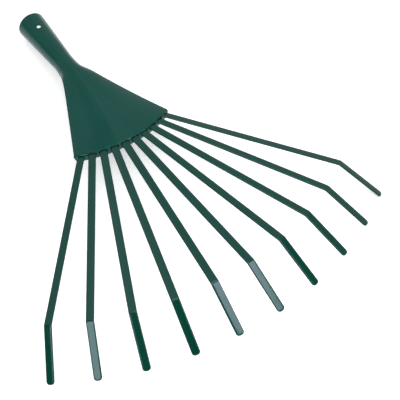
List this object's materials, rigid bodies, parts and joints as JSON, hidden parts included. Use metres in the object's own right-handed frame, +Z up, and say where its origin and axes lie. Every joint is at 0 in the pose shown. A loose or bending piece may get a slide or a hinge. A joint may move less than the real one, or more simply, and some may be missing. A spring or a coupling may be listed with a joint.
{
  "type": "hand rake head",
  "caption": "Enamelled sheet-steel hand rake head: a conical handle socket and an arched fan plate holding a fan of flat tines with bent tips.",
  "frame": {"origin": "centre of the bounding box on the ground, with the rake resting on its two outer tine tips and the lower lip of its socket", "axes": "+Z up, -Y towards the tine tips, +Y towards the socket's mouth, +X to the right seen from the socket, looking down at the tines: the rake is symmetric about X = 0"},
  "size_m": [0.3488, 0.413, 0.0433],
  "materials": {
    "head_enamel": "dark green gloss enamel, slightly uneven over pressed sheet",
    "tine_enamel": "dark green gloss enamel on flat steel strip"
  },
  "bodies": {
    "root": {"rake_head": "head_enamel", "tine_1": "tine_enamel", "tine_2": "tine_enamel", "tine_3": "tine_enamel", "tine_4": "tine_enamel", "tine_5": "tine_enamel", "tine_6": "tine_enamel", "tine_7": "tine_enamel", "tine_8": "tine_enamel", "tine_9": "tine_enamel", "tine_10": "tine_enamel"}
  },
  "joints": []
}
